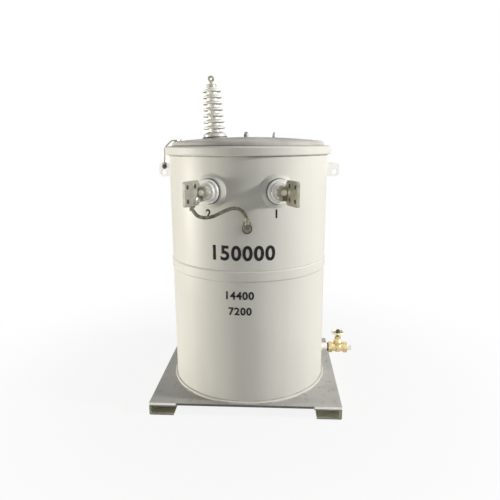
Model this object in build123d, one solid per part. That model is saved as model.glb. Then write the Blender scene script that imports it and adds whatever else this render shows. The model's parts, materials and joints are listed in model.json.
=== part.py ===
from build123d import *
import os
from math import atan2, cos, degrees, radians, sin, sqrt, tan

# Pole mounted transformer on its shipping base, in millimetres.
# Z is the tank axis with the floor at zero, and the low-voltage side faces -Y.

# Base
skid_height = 40
skid_flange = 99
skid_foot_flange = 90
skid_wall = 5
plate_side_margin = 50
plate_end_margin = 12
plate_thickness = 8

# Tank
tank_diameter = 600
tank_wall = 4
shell_height = 888
bottom_thickness = 8
bottom_lip = 8
bottom_lip_round = 3
bead_rise_share = 0.528
bead_width = 40
bead_proud = 3
bead_slope = 5
rim_reach = 11
rim_edge = 8.5
rim_flank = 4

# Cover and its clamp band
gasket_thickness = 3
cover_wall = 4
shoulder_setback = 12
shoulder_corner = 14
shoulder_height = 19
dome_rise = 17
band_reach = 15
band_wall = 3
band_clearance = 0.3
band_lip = 3
band_split = 24
band_ear_width = 8
band_ear_height = 24
band_ear_reach = 20
band_bolt_radius = 5
band_bolt_overhang = 12

# High-voltage bushing
hv_place = 127
hv_boss_radius = 48
hv_boss_rise = 2
hv_bore = 30
hv_gasket_radius = 46
hv_shank_radius = 26
hv_shank_depth = 60
hv_foot_radius = 36
hv_foot_height = 9
hv_ring_radius = 43.5
hv_ring_height = 18
hv_ring_round = 4
hv_fit = 0.3
hv_core_bottom = 22
hv_core_top = 20
hv_shed_count = 7
hv_shed_bottom = 41.5
hv_shed_top = 35
hv_first_shed = 37
hv_shed_pitch = 22.3
hv_shed_drop = 9
hv_shed_edge = 7.5
hv_shed_round = 3.4
hv_shed_hollow = 3
hv_shed_root = 4
hv_head_height = 15
hv_head_radius = 17
hv_cap_radius = 18.5
hv_cap_height = 10
hv_cap_round = 4
hv_stud_radius = 6.5
hv_stud_length = 9
hv_eye_radius = 11
hv_eye_bore = 5.5
hv_eye_thickness = 14
hv_eye_neck = 6

# Low-voltage bushings
lv_angle = 22
lv_drop = 129
lv_boss_radius = 58
lv_boss_flat = 47
lv_boss_proud = 10
lv_boss_round = 9
lv_bore = 31
lv_gasket_radius = 43
lv_gasket_thickness = 3
lv_shank_radius = 26
lv_shank_depth = 60
lv_ring_radius = 41.5
lv_ring_length = 10
lv_nose_radius = 32.5
lv_nose_length = 11
lv_round = 4
lv_stud_radius = 9
lv_stud_tail = 20
lv_stud_end = 4
lv_washer_radius = 23
lv_washer_thickness = 3
lv_nut_across = 34
lv_nut_thickness = 3
thread_clearance = 0.05

# Low-voltage terminals, a split clamp with a four-hole pad
hub_radius = 19
hub_length = 16
hub_ear_width = 13
hub_ear_reach = 28
hub_slit = 4
pad_thickness = 9
pad_offset = 14.5
pad_height = 80
pad_length = 97
pad_chamfer = 18
pad_pitch = 44.45
pad_hole = 14.3
pad_margin = 16
pad_corner = 8

# Ground strap, its bolts and the ground boss on the tank
strap_radius = 6.3
tongue_width = 26
tongue_thickness = 3
tongue_tail = 26
crimp_radius = 7.5
crimp_length = 18
bend_share = 0.45
strap_bolt_radius = 6
strap_bolt_tail = 9
bolt_head_share = 1.7
bolt_head_height_share = 1.3
head_flat_share = 0.94
washer_thickness = 2.5
washer_share = 2.1
ground_angle = 2.4
ground_drop = 122
ground_boss_radius = 17
ground_boss_proud = 13
# Strap route: how far each point has turned, come in and dropped from the pad's crimp to the boss's crimp
strap_route_shares = [
    (0.04, 0.07, 0.35),
    (0.12, 0.22, 0.66),
    (0.30, 0.51, 0.70),
    (0.51, 0.75, 0.31),
    (0.71, 0.89, 0.02),
    (0.88, 0.95, 0.12),
    (0.98, 0.98, 0.56),
]

# Lifting lugs
lug_reach = 48
lug_drop = 46
lug_height = 52
lug_thickness = 12
lug_corner = 16
lug_hole = 20
lug_hole_setback = 18
lug_hole_rise = 17
lug_root = 8

# Bond wire from the cover to the left lug
wire_radius = 2.5
wire_tongue_width = 16
wire_tongue_thickness = 2
wire_tongue_tail = 16
wire_crimp_radius = 3.6
wire_crimp_length = 9
bond_bolt_radius = 4
bond_bolt_tail = 3
bond_bolt_drop = 14
bond_bolt_reach = 26
bond_stud_setback = 26
bond_stud_height = 12
wire_stand_off = 7.5
wire_rise = 6

# Small cover fittings
fitting_depth = 30
relief_place = 100
relief_radius = 8.5
relief_top_radius = 5
relief_height = 20
relief_base_share = 0.35
plug_place = 10
plug_radius = 8.5
plug_height = 12
plug_head_across = 12
plug_head_height = 8

# Drain valve on the right
drain_rise = 86
nipple_radius = 16.5
nipple_bore = 11
nipple_length = 29
nipple_inside = 10
spigot_radius = 13
spigot_length = 13
thread_show = 4
valve_length = 76
valve_barrel = 18
valve_hex_across = 39
valve_hex_length = 15
valve_bulge = 21
bonnet_seat_height = 25
bonnet_flange_radius = 17
bonnet_height = 12
bonnet_neck_radius = 9.5
packing_across = 22
packing_height = 11
stem_radius = 5
stem_clearance = 0.05
stem_foot = 14
wheel_height = 65
wheel_radius = 24
wheel_rim = 3.2
wheel_hub_radius = 8
wheel_hub_height = 13
wheel_spokes = 4
spoke_radius = 2.6
wheel_nut_across = 10
wheel_nut_height = 5
plug_body_radius = 13
plug_square = 19
plug_collar_radius = 14
plug_collar = 4
plug_square_length = 14

# Pole hanger brackets on the back
hanger_spacing = 590.55
hanger_stand_off = 70
hanger_width = 120
hanger_height = 110
hanger_plate = 10
hanger_web = 10
hanger_slot_width = 21
hanger_slot_length = 45
hanger_corner = 12

# Core and coils, closed in
core_width = 360
core_height = 480
core_depth = 150
core_limb = 60
coil_width = 220
coil_depth = 300
coil_gap = 8

cut_overrun = 1

# Levels and radii that follow from the sizes above
tank_radius = tank_diameter / 2
plate_width = tank_diameter + 2 * plate_side_margin
plate_depth = tank_diameter + 2 * plate_end_margin
plate_top = skid_height + plate_thickness
shell_base = plate_top + bottom_thickness
rim_level = shell_base + shell_height
bead_level = shell_base + shell_height * bead_rise_share
cover_base = rim_level + gasket_thickness
rim_radius = tank_radius + rim_reach
rim_slope = rim_flank / rim_reach
shoulder_radius = tank_radius - shoulder_setback
ledge_level = cover_base + rim_edge + rim_flank - rim_slope * band_lip
dome_edge = ledge_level + shoulder_height
dome_crest = dome_edge + dome_rise
dome_sphere = (shoulder_radius**2 + dome_rise**2) / (2 * dome_rise)
band_radius = tank_radius + band_reach
pad_hole_radius = pad_hole / 2
lv_height = rim_level - lv_drop
lv_boss_face = tank_radius + lv_boss_proud
lv_ring_base = lv_boss_face + lv_gasket_thickness
lv_nose_end = lv_ring_base + lv_ring_length + lv_nose_length
hub_start = lv_nose_end + lv_washer_thickness + lv_nut_thickness
pad_end = hub_start + pad_length
pad_centre = pad_end - pad_margin - pad_pitch / 2
ground_height = lv_height - ground_drop
lug_top = rim_level - lug_drop
lug_bottom = lug_top - lug_height
bond_stud_place = shoulder_radius - bond_stud_setback
drain_height = shell_base + drain_rise
hanger_middle = shell_base + shell_height / 2

on_base = (Align.CENTER, Align.CENTER, Align.MIN)


def outline(points):
    """Closed face in the XY plane; a third number on a point rounds that corner."""
    corners = []
    for i, point in enumerate(points):
        here = Vector(point[0], point[1])
        before = Vector(points[i - 1][0], points[i - 1][1]) - here
        after_point = points[(i + 1) % len(points)]
        after = Vector(after_point[0], after_point[1]) - here
        if len(point) < 3:
            corners.append((here, None, here))
            continue
        half_turn = radians(before.get_angle(after)) / 2
        setback = point[2] / tan(half_turn)
        inward = (before.normalized() + after.normalized()).normalized()
        middle = here + inward * (point[2] / sin(half_turn) - point[2])
        corners.append((here + before.normalized() * setback, middle, here + after.normalized() * setback))
    edges = []
    for (start, middle, end), following in zip(corners, corners[1:] + corners[:1]):
        if middle:
            edges.append(ThreePointArc(start, middle, end))
        edges.append(Line(end, following[0]))
    return make_face(edges)


def lathe(points):
    """Solid of revolution about Z from (radius, height) points."""
    return revolve(Plane.XZ.location * outline(points), axis=Axis.Z)


def radial(angle, height):
    """Frame whose Z runs out from the tank axis and whose Y is up."""
    out = (sin(radians(angle)), -cos(radians(angle)), 0)
    across = (cos(radians(angle)), sin(radians(angle)), 0)
    return Plane(origin=(0, 0, height), x_dir=across, z_dir=out).location


def hexagon(across, length):
    """Hexagonal prism standing on the XY plane."""
    return extrude(RegularPolygon(across / sqrt(3), 6), amount=length)


def tube(outer, inner, length):
    return Cylinder(outer, length, align=on_base) - Cylinder(inner, length, align=on_base)


def dome_height(radius):
    """Height of the cover's outer face at a distance from the axis."""
    return dome_crest - dome_sphere + sqrt(dome_sphere**2 - radius**2)


# Base


def skid(side):
    """Formed channel, web outside and both flanges turned inwards."""
    outer = plate_width / 2
    section = outline([
        (outer - skid_foot_flange, 0),
        (outer, 0, skid_wall),
        (outer, skid_height, skid_wall),
        (outer - skid_flange, skid_height),
        (outer - skid_flange, skid_height - skid_wall),
        (outer - skid_wall, skid_height - skid_wall),
        (outer - skid_wall, skid_wall),
        (outer - skid_foot_flange, skid_wall),
    ])
    channel = extrude(Plane.XZ.location * section, amount=plate_depth / 2, both=True)
    return channel if side > 0 else mirror(channel, about=Plane.YZ)


def base_plate():
    return Pos(0, 0, skid_height) * Box(plate_width, plate_depth, plate_thickness, align=on_base)


# Tank


def tank_bottom():
    edge = tank_radius + bottom_lip
    return lathe([(0, plate_top), (edge, plate_top), (edge, shell_base, bottom_lip_round), (0, shell_base)])


def bead_points(radius):
    """Rolled bead round the shell, followed by both faces of the wall."""
    low = bead_level - bead_width / 2
    high = low + bead_width
    proud = radius + bead_proud
    return [(radius, low), (proud, low + bead_slope), (proud, high - bead_slope), (radius, high)]


def tank_shell():
    inner = tank_radius - tank_wall
    profile = [(inner, shell_base), (tank_radius, shell_base)]
    profile += bead_points(tank_radius)
    profile += [
        (tank_radius, rim_level - rim_edge - rim_flank),
        (rim_radius, rim_level - rim_edge),
        (rim_radius, rim_level),
        (inner, rim_level),
    ]
    profile += bead_points(inner)[::-1]
    shell = lathe(profile)
    for angle in (-lv_angle, lv_angle):
        shell -= radial(angle, lv_height) * Cylinder(lv_bore, rim_radius, align=on_base)
    drain = Plane.YZ.location * Cylinder(nipple_radius + thread_clearance, rim_radius, align=on_base)
    return shell - Pos(0, 0, drain_height) * drain


def core_and_coils():
    """Wound core with two windows and the coil round its middle limb."""
    core = Box(core_width, core_depth, core_height, align=on_base)
    window_width = (core_width - 3 * core_limb) / 2
    window = Box(window_width, core_depth, core_height - 2 * core_limb, align=on_base)
    for side in (-1, 1):
        core -= Pos(side * (core_limb + window_width) / 2, 0, core_limb) * window
    coil_height = core_height - 2 * core_limb - 2 * coil_gap
    coil = extrude(RectangleRounded(coil_width, coil_depth, core_limb), amount=coil_height)
    return Pos(0, 0, shell_base) * (core + Pos(0, 0, core_limb + coil_gap) * coil)


# Cover


def cover_gasket():
    return Pos(0, 0, rim_level) * tube(rim_radius, tank_radius - tank_wall, gasket_thickness)


def dome_seat(x, y):
    """Frame on the dome with Z square to it and Y pointing to -X."""
    height = dome_height(sqrt(x**2 + y**2))
    square = Vector(x, y, height - dome_crest + dome_sphere)
    return Plane(origin=(x, y, height), x_dir=(0, 1, 0), z_dir=square).location


def hv_seat():
    return dome_seat(-hv_place, 0)


def cover():
    inner = shoulder_radius - cover_wall
    ledge_end = tank_radius + band_lip
    flank_top = cover_base + rim_edge

    def arc(radius, drop):
        middle = radius / 2
        return ThreePointArc(
            (0, dome_crest - drop),
            (middle, dome_height(middle) - drop),
            (radius, dome_height(radius) - drop),
        )

    outside = arc(shoulder_radius, 0)
    inside = arc(inner, cover_wall)
    rest = Polyline(
        outside @ 1,
        (shoulder_radius, ledge_level),
        (ledge_end, ledge_level),
        (rim_radius, flank_top),
        (rim_radius, cover_base),
        (inner, cover_base),
        inside @ 1,
    )
    section = make_face([outside, rest, inside, Line(inside @ 0, outside @ 0)])
    knuckle = section.vertices().sort_by_distance(outside @ 1)[0]
    section = fillet(knuckle, shoulder_corner)
    lid = revolve(Plane.XZ.location * section, axis=Axis.Z)
    lid += hv_seat() * Pos(0, 0, -cover_wall / 2) * Cylinder(
        hv_boss_radius, hv_boss_rise + cover_wall / 2, align=on_base
    )
    return lid - hv_seat() * Cylinder(hv_bore, hv_shank_depth)


def band_section():
    """V-shaped clamp channel over the two rims."""
    joint = rim_level + gasket_thickness / 2
    lean = sqrt(1 + rim_slope**2)
    gap = band_clearance * lean
    skin = band_wall * lean
    tip = tank_radius + band_lip
    web = band_radius - band_wall

    def flank(radius, extra):
        return gasket_thickness / 2 + rim_edge + (rim_radius - radius) * rim_slope + extra

    half = [
        (web, flank(web, gap)),
        (tip, flank(tip, gap)),
        (tip, flank(tip, gap + skin)),
        (band_radius, flank(band_radius, gap + skin), band_wall),
    ]
    lower = [(radius, joint - rise, *corner) for radius, rise, *corner in half]
    upper = [(radius, joint + rise, *corner) for radius, rise, *corner in half]
    return lower + upper[::-1]


def band_ears():
    """Pair of ears either side of the split, at the back of the tank."""
    joint = rim_level + gasket_thickness / 2
    ear = Box(band_ear_width, band_ear_reach + band_wall, band_ear_height)
    ear_place = band_radius + band_ear_reach / 2 - band_wall / 2
    hole = Rot(0, 90, 0) * Cylinder(band_bolt_radius + band_clearance, band_ear_width)
    ear -= Pos(0, band_wall / 2, 0) * hole
    offset = (band_split + band_ear_width) / 2
    return [Pos(side * offset, ear_place, joint) * ear for side in (-1, 1)]


def cover_band():
    band = lathe(band_section())
    for ear in band_ears():
        band += ear
    split = Box(band_split, 2 * band_radius, band_radius, align=(Align.CENTER, Align.MIN, Align.CENTER))
    return band - Pos(0, 0, rim_level) * split


def bolt_head(radius):
    """Hexagon on the XY plane with its upper corners turned off."""
    across = 2 * radius * bolt_head_share
    thick = radius * bolt_head_height_share
    corner = across / sqrt(3)
    flat = across * head_flat_share / 2
    turned = lathe([(0, 0), (corner, 0), (corner, thick - (corner - flat) / 2), (flat, thick), (0, thick)])
    return hexagon(across, thick) & turned


def bolt(radius, grip, tail):
    """Hex bolt along Z: head and washer below zero, washer and nut past the end of the grip."""
    washer = Cylinder(radius * washer_share, washer_thickness, align=on_base)
    seat = Pos(0, 0, washer_thickness) * bolt_head(radius) + washer
    length = grip + washer_thickness + radius * bolt_head_height_share + tail
    return Rot(180, 0, 0) * seat + Cylinder(radius, length, align=on_base) + Pos(0, 0, grip) * seat


def band_bolt():
    joint = rim_level + gasket_thickness / 2
    grip = band_split + 2 * band_ear_width
    place = Pos(-grip / 2, band_radius + band_ear_reach / 2, joint) * Rot(0, 90, 0)
    return place * bolt(band_bolt_radius, grip, band_bolt_overhang)


# High-voltage bushing, built up along its own axis from the boss


def hv_gasket():
    ring = tube(hv_gasket_radius, hv_shank_radius + hv_fit, gasket_thickness)
    return hv_seat() * Pos(0, 0, hv_boss_rise) * ring


def hv_base_level():
    return hv_boss_rise + gasket_thickness


def hv_clamp_ring():
    low = hv_base_level()
    foot_top = low + hv_foot_height + hv_fit
    top = low + hv_ring_height
    throat = hv_core_bottom + hv_fit
    pocket = hv_foot_radius + hv_fit
    return hv_seat() * lathe([
        (pocket, low),
        (hv_ring_radius, low),
        (hv_ring_radius, foot_top, hv_ring_round),
        (throat + hv_ring_round, top, hv_ring_round / 2),
        (throat, top),
        (throat, foot_top),
        (pocket, foot_top),
    ])


def shed_points(index):
    """One drooping shed: hollow underside, round rim, and a root that runs into the core."""
    last = hv_shed_count - 1
    share = index / last
    rim = hv_shed_bottom + (hv_shed_top - hv_shed_bottom) * share
    core = hv_core_bottom + (hv_core_top - hv_core_bottom) * share
    level = hv_first_shed + index * hv_shed_pitch
    half = hv_shed_edge / 2
    return [
        (core, level - half + hv_shed_hollow),
        (rim, level - half, hv_shed_round),
        (rim, level + half, hv_shed_round),
        (core, level + hv_shed_drop, hv_shed_root),
    ]


def hv_head_level():
    last_shed = hv_first_shed + (hv_shed_count - 1) * hv_shed_pitch
    return last_shed + hv_head_height


def hv_porcelain():
    low = hv_base_level()
    profile = [
        (0, -hv_shank_depth),
        (hv_shank_radius, -hv_shank_depth),
        (hv_shank_radius, low),
        (hv_foot_radius, low),
        (hv_foot_radius, low + hv_foot_height),
        (hv_core_bottom, low + hv_foot_height),
    ]
    for index in range(hv_shed_count):
        profile += shed_points(index)
    profile += [(hv_head_radius, hv_head_level()), (0, hv_head_level())]
    return hv_seat() * lathe(profile)


def hv_cap():
    low = hv_head_level()
    top = low + hv_cap_height
    return hv_seat() * lathe([
        (0, low),
        (hv_cap_radius, low),
        (hv_cap_radius, top, hv_cap_round),
        (hv_stud_radius, top),
        (hv_stud_radius, top + hv_stud_length),
        (0, top + hv_stud_length),
    ])


def hv_eye_terminal():
    seat = hv_head_level() + hv_cap_height + hv_stud_length
    eye = Rot(0, 90, 0) * Cylinder(hv_eye_radius, hv_eye_thickness)
    neck = Pos(0, 0, -hv_eye_radius) * Cylinder(hv_eye_neck, hv_eye_radius, align=on_base)
    ring = eye + neck - Rot(0, 90, 0) * Cylinder(hv_eye_bore, hv_eye_thickness)
    return hv_seat() * Pos(0, 0, seat + hv_eye_radius) * ring


# Low-voltage bushings, built up along the radius they stand on


def lv_boss(angle):
    """Pressed ring, saddled to the tank: a flat face for the gasket and a flank that slopes to the wall."""
    flank_foot = lv_boss_face - (lv_boss_radius - lv_boss_flat)
    ring = lathe([
        (lv_bore, 0),
        (lv_boss_radius, 0),
        (lv_boss_radius, flank_foot),
        (lv_boss_flat, lv_boss_face, lv_boss_round),
        (lv_bore, lv_boss_face),
    ])
    saddle = Pos(0, 0, lv_height) * Cylinder(tank_radius, 2 * lv_boss_radius + cut_overrun)
    return radial(angle, lv_height) * ring - saddle


def lv_gasket(angle):
    inner = lv_shank_radius + hv_fit
    ring = tube(lv_gasket_radius, inner, lv_gasket_thickness)
    return radial(angle, lv_height) * Pos(0, 0, lv_boss_face) * ring


def lv_porcelain(angle):
    bore = lv_stud_radius + thread_clearance
    ring_end = lv_ring_base + lv_ring_length
    return radial(angle, lv_height) * lathe([
        (bore, tank_radius - lv_shank_depth),
        (lv_shank_radius, tank_radius - lv_shank_depth),
        (lv_shank_radius, lv_ring_base),
        (lv_ring_radius, lv_ring_base),
        (lv_ring_radius, ring_end, lv_round),
        (lv_nose_radius, ring_end),
        (lv_nose_radius, lv_nose_end, lv_round),
        (bore, lv_nose_end),
    ])


def lv_stud(angle):
    """Through stud with its washer and thin nut against the porcelain."""
    tail = tank_radius - lv_shank_depth - lv_stud_tail
    length = hub_start + hub_length + lv_stud_end - tail
    rod = Pos(0, 0, tail) * Cylinder(lv_stud_radius, length, align=on_base)
    washer = Pos(0, 0, lv_nose_end) * Cylinder(lv_washer_radius, lv_washer_thickness, align=on_base)
    nut = Pos(0, 0, lv_nose_end + lv_washer_thickness) * hexagon(lv_nut_across, lv_nut_thickness)
    return radial(angle, lv_height) * (rod + washer + nut)


def pad_blank(side):
    """Four-hole pad in the upright plane of the stud, on its outer side."""
    half = pad_height / 2
    face = outline([
        (hub_start, -hub_radius),
        (hub_start + pad_chamfer, -half),
        (pad_end, -half, pad_corner),
        (pad_end, half, pad_corner),
        (hub_start + pad_chamfer, half),
        (hub_start, hub_radius),
    ])
    for along in (-1, 1):
        for up in (-1, 1):
            hole = Circle(pad_hole_radius)
            face -= Pos(pad_centre + along * pad_pitch / 2, up * pad_pitch / 2) * hole
    upright = Plane(origin=(side * pad_offset, 0, 0), x_dir=(0, 0, 1), z_dir=(-1, 0, 0))
    return extrude(upright.location * face, amount=pad_thickness / 2, both=True)


def lv_terminal(side):
    hub = Pos(0, 0, hub_start) * Cylinder(hub_radius, hub_length, align=on_base)
    ears = Box(hub_ear_width, hub_ear_reach, hub_length, align=on_base)
    clamp = hub + Pos(0, -hub_ear_reach / 2, hub_start) * ears + pad_blank(side)
    bore = Cylinder(lv_stud_radius + thread_clearance, pad_end, align=on_base)
    slit = Pos(0, 0, hub_start) * Box(
        hub_slit, hub_ear_reach + cut_overrun, hub_length, align=(Align.CENTER, Align.MAX, Align.MIN)
    )
    return radial(side * lv_angle, lv_height) * (clamp - bore - slit)


# Ground strap


def tongue(width, thickness, tail, hole, crimp, crimp_run):
    """Flat lug on the XY plane, hole at the origin, crimp at the end of its +Y tail."""
    plate = Circle(width / 2) + Pos(0, tail / 2) * Rectangle(width, tail)
    plate -= Circle(hole + thread_clearance)
    barrel = Pos(0, tail, crimp) * Rot(90, 0, 0) * Cylinder(crimp, crimp_run)
    return extrude(plate, amount=thickness) + barrel


def strap_tongue():
    return tongue(tongue_width, tongue_thickness, tongue_tail, strap_bolt_radius, crimp_radius, crimp_length)


def pad_tongue_frame():
    """Frame on the outer face of the left pad, tail hanging down."""
    outside = -(pad_offset + pad_thickness / 2)
    inner_hole = pad_centre - pad_pitch / 2
    turn = Plane(origin=(outside, -pad_pitch / 2, inner_hole), x_dir=(0, 0, 1), z_dir=(-1, 0, 0))
    return radial(-lv_angle, lv_height) * turn.location * Rot(0, 0, 180)


def ground_tongue_frame():
    return radial(ground_angle, ground_height) * Pos(0, 0, tank_radius + ground_boss_proud)


def bent_path(points):
    """Straight runs joined by arcs as large as the runs allow."""
    radii = []
    for before, here, after in zip(points, points[1:], points[2:]):
        turn = radians((here - before).get_angle(after - here))
        run = min((here - before).length, (after - here).length)
        radii.append(bend_share * run / tan(turn / 2))
    return FilletPolyline(*points, radius=radii)


def cable(path, radius):
    return sweep(Plane(origin=path @ 0, z_dir=path % 0) * Circle(radius), path=path)


def strap_points(start, end):
    """Route round the tank from one crimp to the other, in turn, radius and height."""

    def polar(point):
        return degrees(atan2(point.X, -point.Y)), sqrt(point.X**2 + point.Y**2)

    start_turn, start_radius = polar(start)
    end_turn, end_radius = polar(end)
    points = [start]
    for turn_share, inward_share, drop_share in strap_route_shares:
        turn = radians(start_turn + (end_turn - start_turn) * turn_share)
        radius = start_radius + (end_radius - start_radius) * inward_share
        height = start.Z + (end.Z - start.Z) * drop_share
        points.append(Vector(radius * sin(turn), -radius * cos(turn), height))
    return points + [end]


def ground_strap():
    """Stranded lead with a crimped lug at each end."""
    mouth = Pos(0, tongue_tail, crimp_radius)
    start = (pad_tongue_frame() * mouth).position
    end = (ground_tongue_frame() * mouth).position
    path = bent_path(strap_points(start, end))
    lugs = pad_tongue_frame() * strap_tongue() + ground_tongue_frame() * strap_tongue()
    return lugs + cable(path, strap_radius)


def strap_bolt():
    """Bolt through the tongue and the left pad, nut on the hub side."""
    outside = -(pad_offset + pad_thickness / 2 + tongue_thickness)
    inner_hole = pad_centre - pad_pitch / 2
    place = Plane(origin=(outside, -pad_pitch / 2, inner_hole), x_dir=(0, 0, 1), z_dir=(1, 0, 0))
    grip = pad_thickness + tongue_thickness
    return radial(-lv_angle, lv_height) * place.location * bolt(strap_bolt_radius, grip, strap_bolt_tail)


def ground_boss():
    face = tank_radius + ground_boss_proud
    boss = Cylinder(ground_boss_radius, face, align=on_base)
    thread = strap_bolt_radius + thread_clearance
    boss -= Pos(0, 0, face) * Cylinder(thread, 2 * (ground_boss_proud + cut_overrun))
    saddle = Pos(0, 0, ground_height) * Cylinder(tank_radius, 2 * ground_boss_radius + cut_overrun)
    return radial(ground_angle, ground_height) * boss - saddle


def ground_bolt():
    seat = tank_radius + ground_boss_proud + tongue_thickness
    shank_length = tongue_thickness + ground_boss_proud - thread_clearance
    shank = Pos(0, 0, seat - shank_length) * Cylinder(strap_bolt_radius, shank_length, align=on_base)
    washer = Pos(0, 0, seat) * Cylinder(strap_bolt_radius * washer_share, washer_thickness, align=on_base)
    head = Pos(0, 0, seat + washer_thickness) * bolt_head(strap_bolt_radius)
    return radial(ground_angle, ground_height) * (shank + washer + head)


# Lifting lugs and bond wire


def bond_bolt_spot():
    return tank_radius + bond_bolt_reach, lug_top - bond_bolt_drop


def lifting_lug(side):
    """Upright ear welded to the side of the tank."""
    end = tank_radius + lug_reach
    face = outline([
        (tank_radius - lug_root, lug_bottom),
        (end, lug_bottom, lug_corner),
        (end, lug_top, lug_corner),
        (tank_radius - lug_root, lug_top),
    ])
    face -= Pos(end - lug_hole_setback, lug_bottom + lug_hole_rise) * Circle(lug_hole / 2)
    if side < 0:
        face -= Pos(*bond_bolt_spot()) * Circle(bond_bolt_radius + thread_clearance)
    ear = extrude(Plane.XZ.location * face, amount=lug_thickness / 2, both=True)
    ear -= Pos(0, 0, lug_bottom) * Cylinder(tank_radius, lug_top - lug_bottom, align=on_base)
    return ear if side > 0 else mirror(ear, about=Plane.YZ)


def bond_front():
    """Upright plane of the bond wire, in front of the left lug."""
    return -lug_thickness / 2 - wire_crimp_radius


def cover_tongue_frame():
    return dome_seat(-bond_stud_place, bond_front())


def lug_tongue_frame():
    reach, level = bond_bolt_spot()
    face = Plane(origin=(-reach, -lug_thickness / 2, level), x_dir=(1, 0, 0), z_dir=(0, -1, 0))
    return face.location


def bond_wire():
    """Bare wire over the clamp band, with a crimped lug at each end."""
    lug = tongue(
        wire_tongue_width, wire_tongue_thickness, wire_tongue_tail,
        bond_bolt_radius, wire_crimp_radius, wire_crimp_length,
    )
    mouth = Pos(0, wire_tongue_tail, wire_crimp_radius)
    front = bond_front()
    outside = band_radius + wire_stand_off
    path = bent_path([
        (cover_tongue_frame() * mouth).position,
        Vector(-shoulder_radius - wire_rise, front, dome_edge + wire_rise),
        Vector(-outside, front, cover_base + rim_edge),
        Vector(-outside, front, rim_level - rim_edge - rim_flank),
        (lug_tongue_frame() * mouth).position,
    ])
    return cover_tongue_frame() * lug + lug_tongue_frame() * lug + cable(path, wire_radius)


def lug_bond_bolt():
    grip = lug_thickness + wire_tongue_thickness
    head_side = lug_tongue_frame() * Pos(0, 0, wire_tongue_thickness) * Rot(180, 0, 0)
    return head_side * bolt(bond_bolt_radius, grip, bond_bolt_tail)


def cover_bond_stud():
    nut = Pos(0, 0, wire_tongue_thickness) * bolt_head(bond_bolt_radius)
    stud = Cylinder(bond_bolt_radius, bond_stud_height, align=on_base) + nut
    return cover_tongue_frame() * stud


# Cover fittings


def relief_valve():
    body = lathe([
        (0, 0),
        (relief_radius, 0),
        (relief_radius, relief_height * relief_base_share),
        (relief_top_radius, relief_height, relief_top_radius / 2),
        (0, relief_height),
    ])
    return dome_seat(relief_place, fitting_depth) * body


def cover_plug():
    body = Cylinder(plug_radius, plug_height, align=on_base)
    head = Pos(0, 0, plug_height) * Box(plug_head_across, plug_head_across, plug_head_height, align=on_base)
    return dome_seat(-plug_place, fitting_depth) * (body + head)


# Drain valve, built along +X from the tank wall


def drain_frame():
    return Pos(0, 0, drain_height) * Plane(origin=(0, 0, 0), x_dir=(0, 1, 0), z_dir=(1, 0, 0)).location


def valve_start():
    return tank_radius + nipple_length


def drain_nipple():
    inside = tank_radius - nipple_inside
    end = valve_start()
    return drain_frame() * lathe([
        (nipple_bore, inside),
        (nipple_radius, inside),
        (nipple_radius, end - thread_show),
        (spigot_radius, end - thread_show),
        (spigot_radius, end + spigot_length),
        (nipple_bore, end + spigot_length),
    ])


def valve_stem_place():
    return valve_start() + valve_length / 2


def valve_body():
    start = valve_start()
    socket = Cylinder(spigot_radius + thread_clearance, spigot_length, align=on_base)
    barrel = Pos(0, 0, start) * Cylinder(valve_barrel, valve_length, align=on_base)
    ends = [Pos(0, 0, start), Pos(0, 0, start + valve_length - valve_hex_length)]
    body = drain_frame() * barrel
    for end in ends:
        body += drain_frame() * end * hexagon(valve_hex_across, valve_hex_length)
    stem = Pos(valve_stem_place(), 0, drain_height)
    body += stem * Sphere(valve_bulge)
    body += stem * Cylinder(bonnet_flange_radius, bonnet_seat_height, align=on_base)
    body -= drain_frame() * Pos(0, 0, start) * socket
    body -= drain_frame() * Pos(0, 0, start + valve_length - spigot_length) * socket
    stem_hole = Cylinder(stem_radius + stem_clearance, bonnet_seat_height - stem_foot, align=on_base)
    return body - stem * Pos(0, 0, stem_foot) * stem_hole


def valve_bonnet():
    """Bonnet with its packing nut, bored for the stem."""
    top = bonnet_height + packing_height
    shape = Cone(bonnet_flange_radius, bonnet_neck_radius, bonnet_height, align=on_base)
    shape += Pos(0, 0, bonnet_height) * hexagon(packing_across, packing_height)
    shape -= Cylinder(stem_radius + stem_clearance, top, align=on_base)
    return Pos(valve_stem_place(), 0, drain_height + bonnet_seat_height) * shape


def valve_handwheel():
    """Rim, spokes and hub on the stem that turns in the bonnet."""
    rim = Torus(wheel_radius, wheel_rim)
    hub = Cylinder(wheel_hub_radius, wheel_hub_height)
    nut = Pos(0, 0, wheel_hub_height / 2) * hexagon(wheel_nut_across, wheel_nut_height)
    wheel = hub + nut
    spoke = Rot(0, 90, 0) * Cylinder(spoke_radius, wheel_radius - wheel_hub_radius / 2, align=on_base)
    for index in range(wheel_spokes):
        wheel += Rot(0, 0, index * 360 / wheel_spokes) * Pos(wheel_hub_radius / 2, 0, 0) * spoke
    foot = stem_foot + stem_clearance
    stem = Cylinder(stem_radius, wheel_height - foot, align=on_base)
    wheel = Pos(0, 0, wheel_height) * (wheel + rim) + Pos(0, 0, foot) * stem
    return Pos(valve_stem_place(), 0, drain_height) * wheel


def valve_plug():
    """Square-headed plug that closes the outlet."""
    end = valve_start() + valve_length
    body = Pos(0, 0, end - spigot_length) * Cylinder(plug_body_radius, spigot_length, align=on_base)
    collar = Pos(0, 0, end) * Cylinder(plug_collar_radius, plug_collar, align=on_base)
    head = Pos(0, 0, end) * Box(plug_square, plug_square, plug_collar + plug_square_length, align=on_base)
    return drain_frame() * (body + collar + head)


# Pole hangers


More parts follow.
